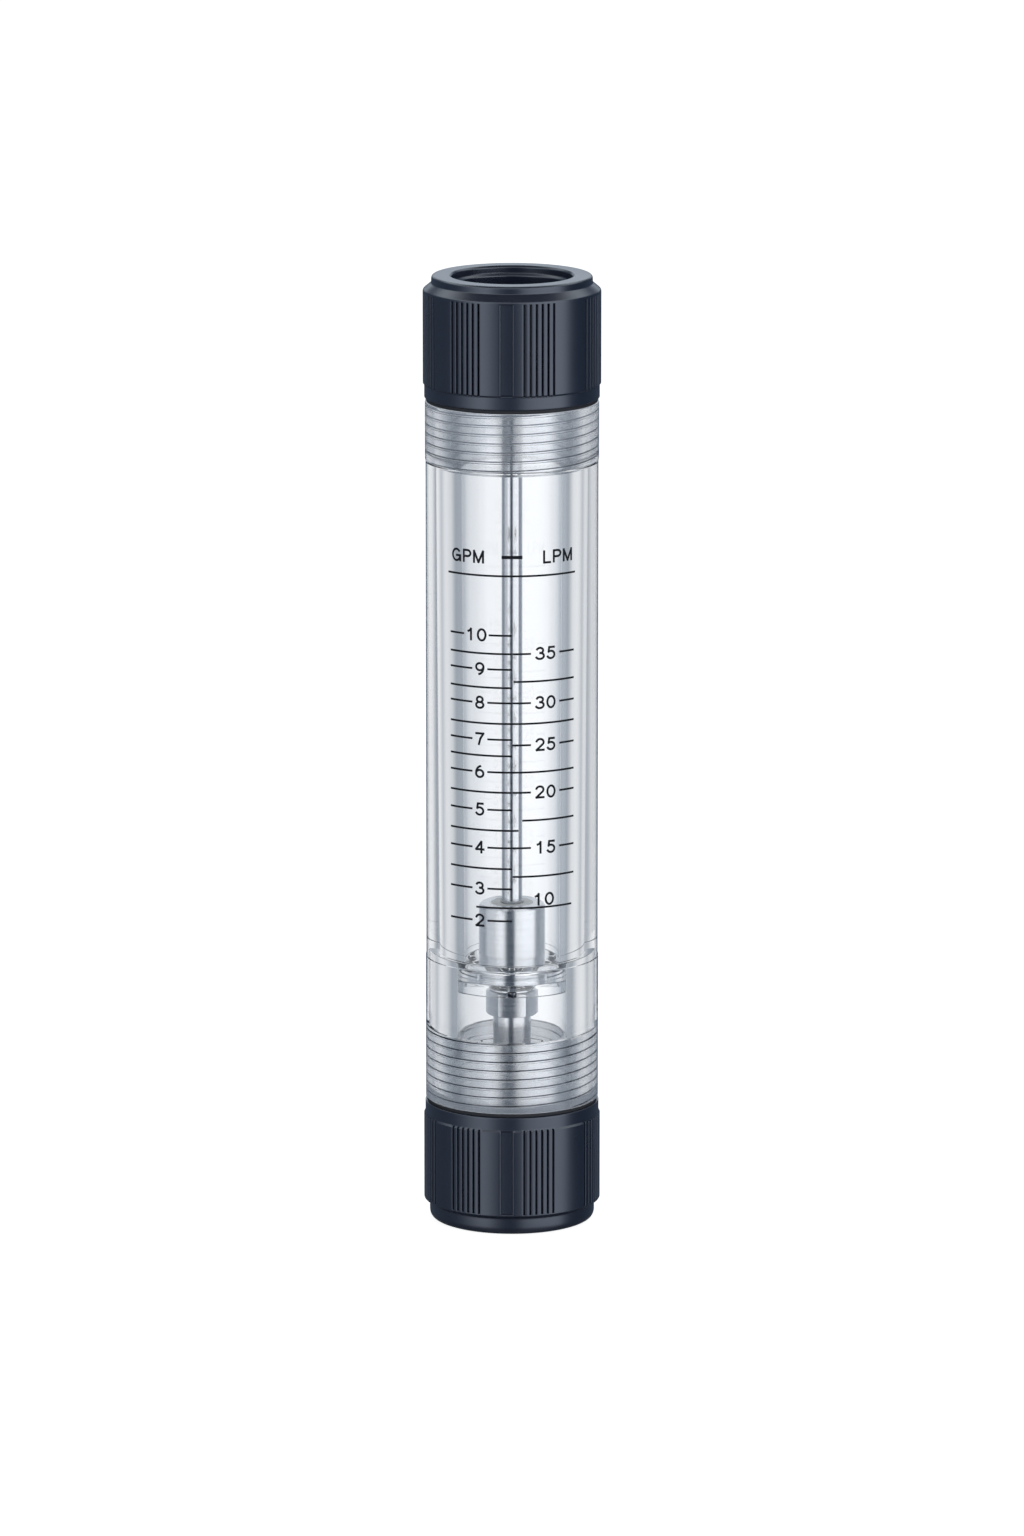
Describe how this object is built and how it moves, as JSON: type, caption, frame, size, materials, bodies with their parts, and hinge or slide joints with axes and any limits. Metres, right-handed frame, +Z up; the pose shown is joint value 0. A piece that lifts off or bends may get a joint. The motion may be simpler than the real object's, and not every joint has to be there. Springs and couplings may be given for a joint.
{
  "type": "rotameter",
  "caption": "In-line flow meter with a thick clear tube, a steel float on a guide rod, a printed scale and black ribbed end connectors with female pipe threads.",
  "frame": {"origin": "centre of the bottom end face, on the flow axis", "axes": "+Z up along the flow axis, the direction of flow; the printed scale faces -Y; +X is to the right of someone reading it"},
  "size_m": [0.045, 0.045, 0.244],
  "materials": {
    "clear_acrylic": "polished, clear",
    "clear_fittings": "polished, clear",
    "connector_plastic": "moulded, satin",
    "black_rubber": "matt",
    "rod_steel": "drawn and polished",
    "turned_steel": "turned",
    "float_steel": "fine turned",
    "bearing_plastic": "machined, smooth"
  },
  "bodies": {
    "meter": {"meter_body": "clear_acrylic", "guide_rod": "rod_steel", "lower_rod_holder": "clear_fittings", "upper_rod_holder": "clear_fittings", "lower_end_nut": "turned_steel", "upper_end_nut": "turned_steel", "lower_end_washer": "turned_steel", "upper_end_washer": "turned_steel", "spacer_sleeve": "turned_steel", "seat_nut": "turned_steel", "seat_washer": "turned_steel", "seat_plate": "clear_fittings", "orifice_ring": "clear_fittings", "lower_bumper": "bearing_plastic", "upper_bumper": "bearing_plastic"},
    "float": {"float_body": "float_steel", "lower_float_bush": "bearing_plastic", "upper_float_bush": "bearing_plastic"},
    "bottom_seals": {"bottom_rim_seal": "black_rubber", "bottom_face_gasket": "black_rubber"},
    "bottom_end": {"bottom_connector": "connector_plastic"},
    "top_seals": {"top_rim_seal": "black_rubber", "top_face_gasket": "black_rubber"},
    "top_end": {"top_connector": "connector_plastic"}
  },
  "joints": [
    {"name": "float_slide", "type": "slide", "parent": "meter", "child": "float", "axis": [0, 0, 1], "range_m": [0, 0.1305]},
    {"name": "bottom_advance", "type": "slide", "parent": "meter", "child": "bottom_seals", "axis": [0, 0, -1], "range_m": [0, 0.012]},
    {"name": "bottom_turn", "type": "hinge", "parent": "bottom_seals", "child": "bottom_end", "pos_m": [0, 0, 0.0155], "axis": [0, 0, -1], "range_deg": [0, 2880]},
    {"name": "top_advance", "type": "slide", "parent": "meter", "child": "top_seals", "axis": [0, 0, 1], "range_m": [0, 0.012]},
    {"name": "top_turn", "type": "hinge", "parent": "top_seals", "child": "top_end", "pos_m": [0, 0, 0.2285], "axis": [0, 0, 1], "range_deg": [0, 2880]}
  ],
  "couplings": [
    {"joint": "bottom_advance", "follows": "bottom_turn", "m_per_rad": 0.00023873},
    {"joint": "top_advance", "follows": "top_turn", "m_per_rad": 0.00023873}
  ]
}
